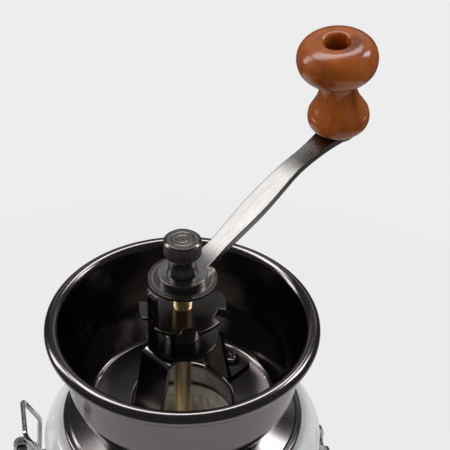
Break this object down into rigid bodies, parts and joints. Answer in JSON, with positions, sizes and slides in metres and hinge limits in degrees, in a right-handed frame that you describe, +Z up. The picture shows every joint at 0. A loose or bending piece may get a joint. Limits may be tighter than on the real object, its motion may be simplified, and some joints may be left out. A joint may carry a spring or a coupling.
{
  "type": "hand crank coffee grinder",
  "caption": "Hand crank coffee grinder with an open metal hopper on a hinged ceramic lid, a wooden crank knob, burrs with a setting lock, and a ceramic jar.",
  "frame": {"origin": "centre of the jar's flat base, on the grinder's main axis", "axes": "+Z up along the shaft, -X towards the latch, +X towards the lid's hinge"},
  "size_m": [0.1656, 0.135, 0.2454],
  "materials": {
    "porcelain": "glossy white glaze",
    "dark_chrome": "black nickel plate, polished",
    "black_steel": "black plated stamped steel, semi gloss",
    "nickel": "brushed nickel plate",
    "dark_nickel": "turned, dark nickel plate",
    "stainless": "bright drawn stainless",
    "zinc_yellow": "yellow passivated zinc",
    "burr_ceramic": "matt pressed ceramic",
    "cast_zinc": "die cast, tumbled",
    "varnished_wood": "stained beech, gloss varnish",
    "silicone": "soft, milky",
    "nylon": "natural nylon"
  },
  "bodies": {
    "jar": {"jar": "porcelain", "neck_band": "stainless", "hinge_pin": "stainless"},
    "lid": {"lid_ring": "porcelain", "lid_seal": "silicone", "lid_band": "stainless", "clamp_screw": "stainless", "clamp_nut": "dark_nickel", "skirt": "dark_chrome", "hopper": "dark_chrome", "bridge": "black_steel", "bridge_bush": "dark_nickel", "bridge_screws": "black_steel", "burr_housing": "cast_zinc", "ring_burr": "burr_ceramic", "lower_bearing": "stainless", "bearing_screws": "stainless", "lower_bush": "nylon", "burr_spring": "stainless"},
    "setting": {"adjuster_nut": "black_steel", "adjuster_plate": "black_steel"},
    "lock": {"lock_plate": "black_steel"},
    "drive": {"main_shaft": "zinc_yellow", "cone_burr": "burr_ceramic", "burr_nut": "stainless", "spring_washer": "stainless", "end_nut": "stainless", "spacer_disc": "dark_nickel", "crank_arm": "nickel", "knob_pin": "stainless", "knob_washer": "stainless"},
    "thumb_nut": {"thumb_nut": "dark_nickel"},
    "knob": {"knob": "varnished_wood"},
    "lever": {"latch_lever": "stainless"},
    "link": {"latch_link": "stainless"}
  },
  "joints": [
    {"name": "lid_hinge", "type": "hinge", "parent": "jar", "child": "lid", "pos_m": [0.0645, 0, 0.0615], "axis": [0, 1, 0], "range_deg": [0, 95]},
    {"name": "crank_spin", "type": "hinge", "parent": "lid", "child": "setting", "pos_m": [0, 0, 0.1427], "axis": [0, 0, 1], "continuous": true},
    {"name": "grind_setting", "type": "slide", "parent": "setting", "child": "drive", "axis": [0, 0, 1], "range_m": [-0.0004, 0.0004], "deforming": ["burr_spring"]},
    {"name": "lock_lift", "type": "slide", "parent": "setting", "child": "lock", "axis": [0, 0, 1], "range_m": [0, 0.012]},
    {"name": "knob_spin", "type": "hinge", "parent": "drive", "child": "knob", "pos_m": [0.07875, 0.05999, 0.20014], "axis": [-0.1176, -0.0896, 0.989], "continuous": true},
    {"name": "thumb_nut_turn", "type": "hinge", "parent": "drive", "child": "thumb_nut", "pos_m": [0, 0, 0.1778], "axis": [0, 0, 1], "range_deg": [0, 180]},
    {"name": "latch_lever_turn", "type": "hinge", "parent": "lid", "child": "lever", "pos_m": [-0.0635, 0, 0.07], "axis": [0, -1, 0], "range_deg": [0, 100]},
    {"name": "latch_link_swing", "type": "hinge", "parent": "lever", "child": "link", "pos_m": [-0.0649, 0, 0.0773], "axis": [0, -1, 0], "range_deg": [-100, 0]}
  ],
  "couplings": [
    {"joint": "latch_link_swing", "follows": "latch_lever_turn", "ratio": -1}
  ]
}
